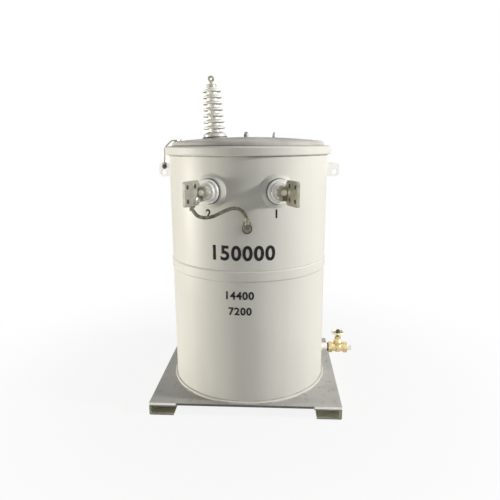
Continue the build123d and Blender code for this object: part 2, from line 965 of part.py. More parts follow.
def hanger(level):
    """Folded bracket on the back, with an upright slot for the pole bolt."""
    face_level = tank_radius + hanger_stand_off
    half = hanger_height / 2
    block = extrude(
        Plane.XZ.location * RectangleRounded(hanger_width, hanger_height, hanger_corner), amount=-face_level
    )
    hollow = Box(
        hanger_width - 2 * hanger_web, face_level - hanger_plate, hanger_height + cut_overrun,
        align=(Align.CENTER, Align.MIN, Align.CENTER),
    )
    slot = Plane.XZ.location * Rot(0, 0, 90) * SlotOverall(hanger_slot_length, hanger_slot_width)
    bracket = block - hollow - extrude(slot, amount=-face_level)
    bracket -= Cylinder(tank_radius, 2 * half + cut_overrun)
    return Pos(0, 0, level) * bracket


os.makedirs("parts", exist_ok=True)
nodes = {
    "left_skid": skid(-1),
    "right_skid": skid(1),
    "base_plate": base_plate(),
    "tank_bottom": tank_bottom(),
    "tank_shell": tank_shell(),
    "core_and_coils": core_and_coils(),
    "cover_gasket": cover_gasket(),
    "cover": cover(),
    "cover_band": cover_band(),
    "band_bolt": band_bolt(),
    "hv_gasket": hv_gasket(),
    "hv_clamp_ring": hv_clamp_ring(),
    "hv_porcelain": hv_porcelain(),
    "hv_cap": hv_cap(),
    "hv_eye_terminal": hv_eye_terminal(),
    "ground_strap": ground_strap(),
    "strap_bolt": strap_bolt(),
    "ground_boss": ground_boss(),
    "ground_bolt": ground_bolt(),
    "left_lifting_lug": lifting_lug(-1),
    "right_lifting_lug": lifting_lug(1),
    "bond_wire": bond_wire(),
    "lug_bond_bolt": lug_bond_bolt(),
    "cover_bond_stud": cover_bond_stud(),
    "relief_valve": relief_valve(),
    "cover_plug": cover_plug(),
    "drain_nipple": drain_nipple(),
    "valve_body": valve_body(),
    "valve_bonnet": valve_bonnet(),
    "valve_handwheel": valve_handwheel(),
    "valve_plug": valve_plug(),
    "upper_hanger": hanger(hanger_middle + hanger_spacing / 2),
    "lower_hanger": hanger(hanger_middle - hanger_spacing / 2),
}
for name, side in (("left", -1), ("right", 1)):
    nodes[f"{name}_lv_boss"] = lv_boss(side * lv_angle)
    nodes[f"{name}_lv_gasket"] = lv_gasket(side * lv_angle)
    nodes[f"{name}_lv_porcelain"] = lv_porcelain(side * lv_angle)
    nodes[f"{name}_lv_stud"] = lv_stud(side * lv_angle)
    nodes[f"{name}_lv_terminal"] = lv_terminal(side)

for name, shape in nodes.items():
    export_step(shape, f"parts/{name}.step")
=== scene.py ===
import json
import math

import bmesh
import bpy
import numpy as np
from mathutils import Matrix, Vector


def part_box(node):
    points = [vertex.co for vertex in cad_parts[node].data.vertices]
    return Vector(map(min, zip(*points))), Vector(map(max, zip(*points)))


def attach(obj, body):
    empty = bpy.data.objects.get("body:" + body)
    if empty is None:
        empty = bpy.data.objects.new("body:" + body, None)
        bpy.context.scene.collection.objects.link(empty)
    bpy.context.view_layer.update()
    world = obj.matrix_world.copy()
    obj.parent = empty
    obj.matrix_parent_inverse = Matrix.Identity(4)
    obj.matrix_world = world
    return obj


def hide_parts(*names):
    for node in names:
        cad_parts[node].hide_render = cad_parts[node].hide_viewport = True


# Looks of a pole mounted transformer, in metres: Z is the tank axis, the low-voltage side faces -Y
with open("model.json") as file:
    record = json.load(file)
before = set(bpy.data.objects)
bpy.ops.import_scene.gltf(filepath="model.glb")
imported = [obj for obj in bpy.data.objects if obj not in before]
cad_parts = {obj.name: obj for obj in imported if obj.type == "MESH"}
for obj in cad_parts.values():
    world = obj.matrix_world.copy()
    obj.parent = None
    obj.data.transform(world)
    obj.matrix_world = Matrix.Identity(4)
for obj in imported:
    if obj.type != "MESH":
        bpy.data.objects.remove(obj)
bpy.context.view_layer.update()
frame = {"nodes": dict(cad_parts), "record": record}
nodes = frame["nodes"]
fixedBody = "transformer"
print("frame loaded:", len(nodes), "nodes")

tank = {"radius": 0.300}
studLow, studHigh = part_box("left_lv_stud")
lowVoltage = {"turn": math.radians(22), "height": (studLow.z + studHigh.z) / 2}


# Shader maths

class Wire:
    # one socket in a node tree; sums on wires add Math nodes
    def __init__(self, tree, socket=None):
        self.tree = tree
        self.socket = socket

    def node(self, kind, settings=None, sockets=None, out=0):
        made = self.tree.nodes.new("ShaderNode" + kind)
        for key, value in (settings or {}).items():
            if key == "stops":
                self.fillRamp(made.color_ramp.elements, value)
            else:
                setattr(made, key, value)
        for key, value in (sockets or {}).items():
            if isinstance(value, Wire):
                self.tree.links.new(value.socket, made.inputs[key])
            else:
                made.inputs[key].default_value = value
        return Wire(self.tree, made.outputs[out]) if made.outputs else None  # an output node gives nothing on

    def fillRamp(self, elements, stops):
        while len(elements) < len(stops):
            elements.new(1.0)
        for element, (place, grey) in zip(elements, stops):
            element.position = place
            element.color = (grey, grey, grey, 1)

    def math(self, operation, first, second):
        return self.node("Math", {"operation": operation}, {0: first, 1: second})

    def __add__(self, other):
        return self.math("ADD", self, other)

    __radd__ = __add__

    def __sub__(self, other):
        return self.math("SUBTRACT", self, other)

    def __rsub__(self, other):
        return self.math("SUBTRACT", other, self)

    def __mul__(self, other):
        return self.math("MULTIPLY", self, other)

    def __truediv__(self, other):
        return self.math("DIVIDE", self, other)

    def __abs__(self):
        return self.math("ABSOLUTE", self, 0.0)


def blendColour(mask, under, over):
    # colour that goes from under to over as the mask goes from 0 to 1
    sockets = {"Factor": mask, 6: under, 7: over}
    return mask.node("Mix", {"data_type": "RGBA"}, sockets, out=2)


def noise(wire, place, scale, detail=3.0, stretch=(1, 1, 1)):
    # cloudy values about 0.5; stretch squeezes the pattern along each axis
    seen = wire.node("Mapping", None, {"Vector": place, "Scale": stretch})
    return wire.node("TexNoise", None, {"Vector": seen, "Scale": scale, "Detail": detail})


def ramp(value, *stops):
    # value led through straight runs between (place, level) stops
    return value.node("ValToRGB", {"stops": stops}, {"Fac": value})


def patchy(wire, place, pattern, stops):
    # mask from a cloudy pattern, given by its scale, detail and stretch
    return ramp(noise(wire, place, *pattern), *stops)


def bump(height, depth, strength=1.0, below=None):
    sockets = {"Height": height, "Distance": depth, "Strength": strength}
    if below:
        sockets["Normal"] = below
    return height.node("Bump", None, sockets)


def startFinish(name):
    # empty node tree with the object's own coordinates ready
    material = bpy.data.materials.new(name)
    material.use_nodes = True
    material.node_tree.nodes.clear()
    wire = Wire(material.node_tree)
    return material, wire, wire.node("TexCoord", out="Object")


def closeFinish(wire, sockets):
    shader = wire.node("BsdfPrincipled", None, sockets)
    wire.node("OutputMaterial", None, {"Surface": shader})


def partOf(place, axis):
    return place.node("SeparateXYZ", None, {"Vector": place}, out=axis)


def larger(first, second):
    return first.math("MAXIMUM", first, second)


# Finishes

# Patterns are the scale, detail and stretch of a noise, and stops lead it to a mask
tankPaintLook = {
    "cream": (0.745, 0.733, 0.680, 1), "shade": (0.715, 0.702, 0.648, 1), "dust": (0.560, 0.520, 0.440, 1),
    # the darkest colour on the next line is painted shade in the seams, the pinkish one a painted reflection on
    # the cover's crown
    "paintedShade": (0.120, 0.110, 0.090, 1), "crownReflection": (0.250, 0.175, 0.170, 1),
    "cloud": (2.2, 4.0), "runs": (26.0, 2.0, (1, 1, 0.05)), "cloudShare": 0.6,
    "toneStops": ((0.38, 0.0), (0.62, 1.0)),
    "patch": (11.0, 4.0, (1, 0.5, 1)), "patchStops": ((0.34, 0.35), (0.62, 1.0)),
    "crownReflectionReach": 0.36, "crownReflectionStops": ((0.55, 0.80), (1.0, 0.0)),
    "dustTop": 0.16, "grit": (60.0, 5.0), "gritShare": 0.45, "dustStops": ((0.52, 0.0), (0.95, 0.55)),
    "swell": (4.0, 1.0), "swellDepth": 0.006, "peel": (420.0, 1.5), "peelDepth": 0.00012,
    "smear": (9.0, 3.0, (1, 1, 0.35)),
    "roughness": 0.38, "smearRough": 0.10, "dustRough": 0.25, "seamShadeRough": 0.3,
    "specular": 0.3, "crownSpecular": 0.05,
}
# Lines of painted shade and dirt where parts meet: height, half the line's width, how dark it gets
shadedSeams = {
    "lip": (0.0568, 0.0016, 0.50),
    "beadFoot": (0.5052, 0.0014, 0.55),
    "beadTop": (0.5447, 0.0014, 0.60),
    "bandFoot": (0.9282, 0.0030, 0.85),
    "bandTop": (0.9622, 0.0022, 0.60),
}
shadedSeamBreaks = {"pattern": (14.0, 4.0), "stops": ((0.30, 0.45), (0.60, 1.0))}


def paintedSeamShade(wire, place):
    # painted shade and dirt: dark level lines in the seams, broken up by a cloudy pattern
    height = partOf(place, 2)
    lines = wire.math("MULTIPLY", 0.0, 0.0)
    for level, half, depth in shadedSeams.values():
        lines = larger(lines, ramp((height - level) / (2 * half) + 0.5, (0.0, 0.0), (0.5, depth), (1.0, 0.0)))
    return lines * patchy(wire, place, shadedSeamBreaks["pattern"], shadedSeamBreaks["stops"])


def fromAxis(wire, place, axis=(0, 0)):
    # distance from an upright axis
    x, y = axis
    beside = wire.node("Mapping", None, {"Vector": place, "Location": (-x, -y, 0), "Scale": (1, 1, 0)})
    return wire.node("VectorMath", {"operation": "LENGTH"}, {0: beside}, out="Value")


def paintedCrownReflection(wire, place):
    # painted reflection on the crown of the cover: pinkish, patchy, thinning out towards the shoulder
    look = tankPaintLook
    reach = ramp(fromAxis(wire, place) / look["crownReflectionReach"], *look["crownReflectionStops"])
    return patchy(wire, place, look["patch"], look["patchStops"]) * reach


def makeTankPaint(name, withCrownReflection):
    look = tankPaintLook
    material, wire, place = startFinish(name)
    cloud = noise(wire, place, *look["cloud"])
    runs = noise(wire, place, *look["runs"])
    tone = ramp(cloud * look["cloudShare"] + runs * (1 - look["cloudShare"]), *look["toneStops"])
    paint = blendColour(tone, look["cream"], look["shade"])
    if withCrownReflection:
        # painted pinkish reflection on the cover's crown
        paint = blendColour(paintedCrownReflection(wire, place), paint, look["crownReflection"])
    low = 1 - partOf(place, 2) / look["dustTop"]
    grit = noise(wire, place, *look["grit"])
    dust = ramp(low * (1 - look["gritShare"]) + grit * look["gritShare"], *look["dustStops"])
    # painted shade and dirt along the seams
    seamShade = paintedSeamShade(wire, place)
    smear = noise(wire, place, *look["smear"])
    swell = bump(noise(wire, place, *look["swell"]), look["swellDepth"])
    rough = look["roughness"] + smear * look["smearRough"] + dust * look["dustRough"]
    closeFinish(wire, {
        "Base Color": blendColour(seamShade, blendColour(dust, paint, look["dust"]), look["paintedShade"]),
        "Roughness": rough + seamShade * look["seamShadeRough"],
        "Specular IOR Level": look["crownSpecular"] if withCrownReflection else look["specular"],
        "Normal": bump(noise(wire, place, *look["peel"]), look["peelDepth"], 1.0, swell),
    })
    return material


# Base paint: the plate's front and back edges carry a painted highlight over the skids and a painted shadow
# between them; its top is worn, and painted lighter towards one side by the lean, as light falling from that
# side
basePaintLooks = {
    "platePaint": {
        "grey": (0.330, 0.326, 0.304, 1), "wornAndLit": (0.490, 0.486, 0.464, 1), "stain": (0.200, 0.190, 0.165, 1),
        "paintedEdgeShading": (0.880, 0.875, 0.830, 1), "paintedGapShadow": (0.130, 0.128, 0.115, 1), "edge": 0.0022, "lean": 0.35,
        "metallic": 0.0, "edgeMetallic": 0.9,
    },
    # lighter copy of the base paint, painted light for the inside of the channels, with painted shade on their
    # end edges
    "litSkidPaint": {
        "grey": (0.740, 0.728, 0.610, 1), "wornAndLit": (0.820, 0.808, 0.700, 1), "stain": (0.450, 0.430, 0.340, 1),
        "paintedEdgeShading": (0.240, 0.235, 0.200, 1), "paintedGapShadow": (0.130, 0.128, 0.115, 1), "edge": 0.0015, "lean": 0.0,
        "metallic": 0.60, "edgeMetallic": 0.0,
    },
}


baseWear = {
    "drag": (18.0, 4.0, (0.25, 1, 1)), "cloud": (5.0, 5.0), "wornStops": ((0.40, 0.0), (0.66, 1.0)),
    "spot": (38.0, 6.0), "spotStops": ((0.58, 0.0), (0.74, 0.6)),
    "chip": (45.0, 4.0), "chipStops": ((0.25, 0.80), (0.55, 1.0)),
    "edgeStops": ((0.0, 0.0), (0.9, 1.0)), "skidFade": 0.006,
    "grain": (260.0, 3.0), "grainDepth": 0.0002, "roughness": 0.34, "wornRough": 0.12, "spotRough": 0.2,
}


def frontEdge(place, width):
    # 1 on the front and back edges of the base, falling to 0 over the width
    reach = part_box("base_plate")[1].y
    return ramp(1 + (abs(partOf(place, 1)) - reach) / width, *baseWear["edgeStops"])


def overSkids(place):
    # 1 above the skids, 0 between them
    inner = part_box("right_skid")[0].x
    return ramp((abs(partOf(place, 0)) - inner) / baseWear["skidFade"] + 0.5, (0.0, 0.0), (1.0, 1.0))


def makeBasePaint(name):
    look, wear = basePaintLooks[name], baseWear
    material, wire, place = startFinish(name)
    mottle = noise(wire, place, *wear["drag"]) * 0.5 + noise(wire, place, *wear["cloud"]) * 0.5
    # wear mottle, plus painted light: the lean makes it lighter towards one side
    wornAndLit = ramp(mottle + partOf(place, 0) * look["lean"], *wear["wornStops"])
    spot = patchy(wire, place, wear["spot"], wear["spotStops"])
    edge = frontEdge(place, look["edge"]) * patchy(wire, place, wear["chip"], wear["chipStops"])
    held = overSkids(place)
    # painted highlight on the edges over the skids, painted shadow on the edges between them
    rim = blendColour(held, look["paintedGapShadow"], look["paintedEdgeShading"])
    paint = blendColour(spot, blendColour(wornAndLit, look["grey"], look["wornAndLit"]), look["stain"])
    closeFinish(wire, {
        "Base Color": blendColour(edge, paint, rim),
        "Metallic": look["metallic"] + edge * held * look["edgeMetallic"],
        "Roughness": wear["roughness"] + wornAndLit * wear["wornRough"] + spot * wear["spotRough"],
        "Normal": bump(noise(wire, place, *wear["grain"]), wear["grainDepth"]),
    })
    return material


# Porcelain: painted shade under the sheds of the tall bushing
porcelainLooks = {
    "lvPorcelain": {
        "glaze": (0.840, 0.838, 0.810, 1), "milky": (0.780, 0.778, 0.750, 1),
        "shine": 0.25, "rough": 0.22, "sheds": False,
    },
    "hvPorcelain": {
        "glaze": (0.900, 0.890, 0.840, 1), "milky": (0.860, 0.850, 0.795, 1),
        "shine": 0.15, "rough": 0.45, "sheds": True,
    },
}
porcelainWear = {
    "speck": (0.300, 0.280, 0.240, 1), "paintedShade": (0.100, 0.095, 0.080, 1),
    "milk": (16.0, 3.0), "milkStops": ((0.35, 0.0), (0.70, 1.0)), "milkRough": 0.08,
    "specks": (420.0, 2.0), "speckStops": ((0.76, 0.0), (0.80, 0.7)), "paintedShadeRough": 0.4,
    "specular": 0.3, "coat": 0.08, "coatRough": 0.12,
    "wave": (55.0, 2.0), "waveDepth": 0.0001, "waveStrength": 0.5,
}
# Sheds of the tall bushing along its axis, from the middle of its gasket
sheds = {
    "first": 0.0335, "pitch": 0.0223, "core": 0.0220, "fade": 0.009, "rim": 0.0415, "taper": 0.0486,
    "lip": 0.003, "darkest": 0.85, "lowerStops": ((0.28, 0.0), (0.30, 1.0), (0.46, 1.0), (0.49, 0.0)),
}


def boxMiddle(node):
    low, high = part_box(node)
    return (low + high) / 2


def paintedShedShade(wire, place):
    # painted shade on the lower faces of the sheds: a dark band that comes back once a pitch, between core and
    # rim
    base = boxMiddle("hv_gasket")
    axis = (boxMiddle("hv_cap") - base).normalized()
    reach = wire.node("VectorMath", {"operation": "SUBTRACT"}, {0: place, 1: base})
    along = wire.node("VectorMath", {"operation": "DOT_PRODUCT"}, {0: reach, 1: axis}, out="Value")
    square = wire.node("VectorMath", {"operation": "CROSS_PRODUCT"}, {0: reach, 1: axis})
    away = wire.node("VectorMath", {"operation": "LENGTH"}, {0: square}, out="Value")
    phase = wire.math("FRACT", (along - sheds["first"]) / sheds["pitch"] + 0.5, 0.0)
    rim = sheds["rim"] - (along - sheds["first"]) * sheds["taper"]
    inside = ramp((rim - away) / sheds["lip"], (0.0, 0.0), (1.0, 1.0))
    outside = ramp((away - sheds["core"]) / sheds["fade"], (0.0, 0.0), (1.0, sheds["darkest"]))
    return ramp(phase, *sheds["lowerStops"]) * inside * outside


def makePorcelain(name):
    look, wear = porcelainLooks[name], porcelainWear
    material, wire, place = startFinish(name)
    milk = patchy(wire, place, wear["milk"], wear["milkStops"])
    speck = patchy(wire, place, wear["specks"], wear["speckStops"])
    colour = blendColour(speck, blendColour(milk, look["glaze"], look["milky"]), wear["speck"])
    rough = look["rough"] + milk * wear["milkRough"]
    if look["sheds"]:
        # painted shade under the sheds
        paintedShade = paintedShedShade(wire, place)
        colour = blendColour(paintedShade, colour, wear["paintedShade"])
        rough = rough + paintedShade * wear["paintedShadeRough"]
    closeFinish(wire, {
        "Base Color": colour,
        "Metallic": look["shine"],
        "Roughness": rough,
        "Specular IOR Level": wear["specular"],
        "Coat Weight": wear["coat"],
        "Coat Roughness": wear["coatRough"],
        "Normal": bump(noise(wire, place, *wear["wave"]), wear["waveDepth"], wear["waveStrength"]),
    })
    return material


# Metals share one recipe: two tones by cloud, stains, and fine drag marks; one is darker near an axis
metalLooks = {
    "tinnedMetal": {
        "bright": (0.440, 0.420, 0.335, 1), "dull": (0.260, 0.245, 0.185, 1), "stain": (0.090, 0.080, 0.058, 1),
        "metallic": 0.85, "roughness": (0.32, 0.22), "cloud": 34.0, "drag": (1, 1, 0.12), "depth": 0.00012,
    },
    # lighter copy of the pad tin for the left pad: painted light
    "litPadTin": {
        "bright": (0.530, 0.515, 0.460, 1), "dull": (0.350, 0.335, 0.290, 1), "stain": (0.150, 0.138, 0.110, 1),
        "metallic": 0.85, "roughness": (0.32, 0.22), "cloud": 34.0, "drag": (1, 1, 0.12), "depth": 0.00012,
    },
    "studTin": {
        "bright": (0.950, 0.930, 0.860, 1), "dull": (0.850, 0.820, 0.740, 1), "stain": (0.380, 0.350, 0.280, 1),
        "metallic": 1.0, "roughness": (0.28, 0.22), "cloud": 90.0, "drag": (1, 1, 0.2), "depth": 0.00008,
    },
    "zincSteel": {
        "bright": (0.740, 0.730, 0.700, 1), "dull": (0.520, 0.510, 0.480, 1), "stain": (0.260, 0.240, 0.200, 1),
        "metallic": 1.0, "roughness": (0.18, 0.22), "cloud": 60.0, "drag": (1, 1, 0.2), "depth": 0.00008,
    },
    # whiter, shinier finish for the lifting lugs, which are painted like the tank: painted light
    "litLugFinish": {
        "bright": (0.930, 0.925, 0.885, 1), "dull": (0.860, 0.855, 0.810, 1), "stain": (0.520, 0.500, 0.430, 1),
        "metallic": 0.9, "roughness": (0.36, 0.2), "cloud": 40.0, "drag": (1, 1, 0.3), "depth": 0.00012,
    },
    "plugSteel": {
        "bright": (0.420, 0.430, 0.380, 1), "dull": (0.270, 0.280, 0.240, 1), "stain": (0.140, 0.125, 0.095, 1),
        "metallic": 0.6, "roughness": (0.36, 0.22), "cloud": 70.0, "drag": (1, 1, 1), "depth": 0.0002,
    },
    "darkSteel": {
        "bright": (0.110, 0.105, 0.095, 1), "dull": (0.045, 0.043, 0.040, 1), "stain": (0.090, 0.055, 0.030, 1),
        "metallic": 0.8, "roughness": (0.34, 0.25), "cloud": 70.0, "drag": (1, 1, 0.3), "depth": 0.00012,
    },
    "valveBrass": {
        "bright": (0.900, 0.745, 0.420, 1), "dull": (0.650, 0.500, 0.250, 1), "stain": (0.290, 0.215, 0.095, 1),
        "metallic": 1.0, "roughness": (0.22, 0.26), "cloud": 55.0, "drag": (1, 1, 1), "depth": 0.00035,
    },
    # pale tone is a painted highlight over the handwheel, which is darker towards its hub
    "litWheelBrass": {
        "bright": (0.960, 0.920, 0.720, 1), "dull": (0.900, 0.840, 0.600, 1), "stain": (0.085, 0.072, 0.026, 1),
        "metallic": 0.8, "roughness": (0.34, 0.22), "cloud": 60.0, "drag": (1, 1, 1), "depth": 0.00035,
        "hubDarkening": {"axis": (0.367, 0.0), "inner": 0.014, "outer": 0.022, "strength": 0.9},
    },
    "castAlloy": {
        "bright": (0.740, 0.740, 0.705, 1), "dull": (0.640, 0.640, 0.605, 1), "stain": (0.360, 0.350, 0.320, 1),
        "metallic": 0.35, "roughness": (0.38, 0.2), "cloud": 48.0, "drag": (1, 1, 1), "depth": 0.0001,
    },
    "leadStrand": {
        "bright": (0.310, 0.300, 0.245, 1), "dull": (0.130, 0.122, 0.092, 1), "stain": (0.045, 0.040, 0.028, 1),
        "metallic": 0.7, "roughness": (0.46, 0.22), "cloud": 90.0, "drag": (1, 1, 1), "depth": 0.0001,
    },
    "coreIron": {
        "bright": (0.260, 0.250, 0.240, 1), "dull": (0.170, 0.165, 0.160, 1), "stain": (0.100, 0.080, 0.060, 1),
        "metallic": 0.6, "roughness": (0.45, 0.2), "cloud": 20.0, "drag": (0.05, 0.05, 1), "depth": 0.0003,
    },
}


# How the cloud, stain and drag patterns stand to a metal's own cloud scale
metalWear = {
    "cloudDetail": 4.0, "cloudStops": ((0.36, 0.0), (0.66, 1.0)),
    "stainScale": 2.3, "stainDetail": 6.0, "stainStops": ((0.60, 0.0), (0.78, 0.75)), "stainRough": 0.15,
    "dragScale": 9, "dragDetail": 3.0, "dragStrength": 0.6,
}


def darkerNearAxis(wire, place, hubDarkening):
    # strongest inside the inner radius about an upright axis, gone at the outer one
    share = (fromAxis(wire, place, hubDarkening["axis"]) - hubDarkening["inner"]) / (hubDarkening["outer"] - hubDarkening["inner"])
    return ramp(share, (0.0, hubDarkening["strength"]), (1.0, 0.0))


def makeMetal(name):
    look, wear = metalLooks[name], metalWear
    material, wire, place = startFinish(name)
    scale = look["cloud"]
    cloud = patchy(wire, place, (scale, wear["cloudDetail"]), wear["cloudStops"])
    stain = patchy(wire, place, (scale * wear["stainScale"], wear["stainDetail"]), wear["stainStops"])
    if "hubDarkening" in look:
        # darker near the hub of the handwheel
        stain = larger(stain, darkerNearAxis(wire, place, look["hubDarkening"]))
    drag = noise(wire, place, scale * wear["dragScale"], wear["dragDetail"], look["drag"])
    smooth, spread = look["roughness"]
    closeFinish(wire, {
        "Base Color": blendColour(stain, blendColour(cloud, look["bright"], look["dull"]), look["stain"]),
        "Metallic": look["metallic"],
        "Roughness": smooth + cloud * spread + stain * wear["stainRough"],
        "Normal": bump(drag, look["depth"], wear["dragStrength"]),
    })
    return material


rubberLook = {
    "black": (0.016, 0.016, 0.015, 1), "bloom": (0.060, 0.060, 0.056, 1),
    "blooms": (75.0, 4.0), "bloomStops": ((0.45, 0.0), (0.75, 1.0)), "roughness": 0.55, "bloomRough": 0.2,
    "grain": (700.0, 2.0), "grainDepth": 0.0001,
}


def makeRubber():
    look = rubberLook
    material, wire, place = startFinish("gasketRubber")
    bloom = patchy(wire, place, look["blooms"], look["bloomStops"])
    closeFinish(wire, {
        "Base Color": blendColour(bloom, look["black"], look["bloom"]),
        "Roughness": look["roughness"] + bloom * look["bloomRough"],
        "Normal": bump(noise(wire, place, *look["grain"]), look["grainDepth"]),
    })
    return material


inkLook = {
    "black": (0.010, 0.010, 0.010, 1), "scuffed": (0.060, 0.058, 0.052, 1),
    "scuffs": (120.0, 5.0), "scuffStops": ((0.55, 0.0), (0.78, 1.0)), "roughness": 0.50, "scuffRough": 0.25,
    "specular": 0.2, "peel": (420.0, 1.5), "peelDepth": 0.00008,
}


def makeInk():
    look = inkLook
    material, wire, place = startFinish("markInk")
    scuff = patchy(wire, place, look["scuffs"], look["scuffStops"])
    closeFinish(wire, {
        "Base Color": blendColour(scuff, look["black"], look["scuffed"]),
        "Roughness": look["roughness"] + scuff * look["scuffRough"],
        "Specular IOR Level": look["specular"],
        "Normal": bump(noise(wire, place, *look["peel"]), look["peelDepth"]),
    })
    return material


finishes = {name: makeMetal(name) for name in metalLooks}
finishes.update({name: makeBasePaint(name) for name in basePaintLooks})
finishes["tankPaint"] = makeTankPaint("tankPaint", False)
finishes["coverPaint"] = makeTankPaint("coverPaint", True)
finishes.update({name: makePorcelain(name) for name in porcelainLooks})
finishes["gasketRubber"] = makeRubber()
finishes["markInk"] = makeInk()

slotFinish = {
    "tank_paint": "tankPaint",
    "base_paint": "platePaint",
    "core_iron": "coreIron",
    "gasket_rubber": "gasketRubber",
    "porcelain": "lvPorcelain",
    "cast_alloy": "castAlloy",
    "tinned_metal": "tinnedMetal",
    "zinc_steel": "zincSteel",
    "dark_steel": "darkSteel",
    "valve_brass": "valveBrass",
}
# Pieces whose finish differs from the others in their slot: some have aged apart, some carry painted light or
# shade
nodeFinish = {
    "left_skid": "litSkidPaint",
    "right_skid": "litSkidPaint",
    "left_lv_stud": "studTin",
    "right_lv_stud": "studTin",
    "left_lv_terminal": "litPadTin",
    "left_lifting_lug": "litLugFinish",
    "right_lifting_lug": "litLugFinish",
    "hv_porcelain": "hvPorcelain",
    "cover": "coverPaint",
    "ground_boss": "darkSteel",
    "ground_bolt": "leadStrand",
    "drain_nipple": "studTin",
    "cover_plug": "plugSteel",
    "valve_handwheel": "litWheelBrass",
    "valve_plug": "studTin",
}
for part in frame["record"]["subparts"]:
    finish = nodeFinish.get(part["node"], slotFinish[part["material_slot"]])
    for place in nodes[part["node"]].material_slots:
        place.material = finishes[finish]
print("finishes made:", len(finishes))


# Surfaces

def gridQuads(rows, cols, closeRows, closeCols):
    # each grid point joined to its neighbours; a closed way joins its last line to its first
    i = np.arange(rows if closeRows else rows - 1)[:, None]
    j = np.arange(cols if closeCols else cols - 1)[None, :]
    down, across = (i + 1) % rows, (j + 1) % cols
    corners = np.broadcast_arrays(i * cols + j, i * cols + across, down * cols + across, down * cols + j)
    return np.stack(corners, -1).reshape(-1, 4)


def joinSurfaces(surfaces):
    # several (points, quads) pairs as one pair
    counts = np.cumsum([0] + [len(points) for points, quads in surfaces])
    points = np.concatenate([points for points, quads in surfaces])
    quads = np.concatenate([quads + start for (grid, quads), start in zip(surfaces, counts)])
    return points, quads


def addObject(name, data):
    made = bpy.data.objects.new(name, data)
    bpy.context.scene.collection.objects.link(made)
    return made


meshing = {"merge": 1e-7, "sliver": 1e-8, "crease": math.radians(38)}


def addPiece(name, surfaces, finish, replaced=()):
    # one mesh from surfaces; poles and seams are merged and faces turned outwards
    points, quads = joinSurfaces(surfaces)
    mesh = bpy.data.meshes.new(name)
    mesh.from_pydata(points.tolist(), [], quads.tolist())
    work = bmesh.new()
    work.from_mesh(mesh)
    bmesh.ops.remove_doubles(work, verts=work.verts, dist=meshing["merge"])
    bmesh.ops.dissolve_degenerate(work, edges=work.edges, dist=meshing["sliver"])
    bmesh.ops.recalc_face_normals(work, faces=work.faces)
    work.to_mesh(mesh)
    work.free()
    mesh.polygons.foreach_set("use_smooth", np.ones(len(mesh.polygons), bool))
    mesh.set_sharp_from_angle(angle=meshing["crease"])
    mesh.materials.append(finishes[finish])
    piece = addObject(name, mesh)
    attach(piece, fixedBody)
    if replaced:
        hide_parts(*replaced)
    return piece


def meshFromCurve(name, curve):
    maker = addObject(name, curve)
    mesh = bpy.data.meshes.new_from_object(maker.evaluated_get(bpy.context.evaluated_depsgraph_get()))
    bpy.data.objects.remove(maker)
    return mesh


def meshPoints(mesh):
    flat = np.empty(len(mesh.vertices) * 3, np.float32)
    mesh.vertices.foreach_get("co", flat)
    return flat.reshape(-1, 3)


def unit(vectors):
    return vectors / np.linalg.norm(vectors, axis=-1, keepdims=True)


def tubeAlong(path, radius, side, sides, closed):
    # circle of the given radius carried along the path; side is a direction off the path at each point
    if closed:
        ahead = np.roll(path, -1, 0) - np.roll(path, 1, 0)
    else:
        ahead = np.gradient(path, axis=0)
    ahead = unit(ahead)
    side = unit(side - ahead * (side * ahead).sum(-1, keepdims=True))
    other = np.cross(ahead, side)
    turn = np.linspace(0, 2 * np.pi, sides, endpoint=False)[None, :, None]
    ring = np.cos(turn) * side[:, None] + np.sin(turn) * other[:, None]
    points = path[:, None] + ring * np.broadcast_to(radius, len(path))[:, None, None]
    return points.reshape(-1, 3), gridQuads(len(path), sides, closed, True)


def standOn(turn, height, across, up, out):
    # points beside a radius of the tank: across it, up from its height, out from the axis
    outward = np.array([math.sin(turn), -math.cos(turn), 0.0])
    sideways = np.array([math.cos(turn), math.sin(turn), 0.0])
    raised = np.array([0.0, 0.0, 1.0])
    across, up, out = np.broadcast_arrays(across, up, out)
    grid = across[..., None] * sideways + (height + up)[..., None] * raised + out[..., None] * outward
    return grid, outward


# A direction that no axis here lies along
askew = (0.36, 0.48, 0.80)


def turnedAbout(start, axis, along, radius, sides):
    # circles square to the axis, one at each distance along it; a row of radii may change round the circle
    side = unit(np.cross(axis, askew))
    other = np.cross(axis, side)
    turn = np.linspace(0, 2 * np.pi, sides, endpoint=False)
    ring = np.cos(turn)[:, None] * side + np.sin(turn)[:, None] * other
    radius = np.broadcast_to(np.reshape(radius, (len(along), -1)), (len(along), sides))
    points = start + np.reshape(along, (-1, 1, 1)) * np.array(axis) + radius[..., None] * ring
    return points.reshape(-1, 3), gridQuads(len(along), sides, False, True)


# Weld beads

weld = {
    "radius": 0.0032, "ripple": 0.16, "pitch": 0.0048, "sides": 10, "step": 0.0012,
    "fewest": 24, "fewestRound": 48, "rounds": 4, "hangerInset": 0.012,
}


def beadAlong(path, side, closed, radius):
    # round bead whose radius swells and dips once a pitch, as stacked weld pools do
    steps = np.linalg.norm(np.diff(path, axis=0), axis=1)
    run = np.concatenate([[0.0], np.cumsum(steps)])
    pools = np.maximum(1, round(run[-1] / weld["pitch"]))
    phase = run / run[-1] * pools
    size = radius * (1 + weld["ripple"] * (np.abs(np.sin(np.pi * phase)) - 0.5))
    if not closed:
        ends = np.minimum(run, run[-1] - run) / (2 * radius)
        size = size * np.sqrt(np.clip(1 - (1 - np.clip(ends, 0, 1)) ** 2, 0, 1))
    return tubeAlong(path, size, side, weld["sides"], closed)


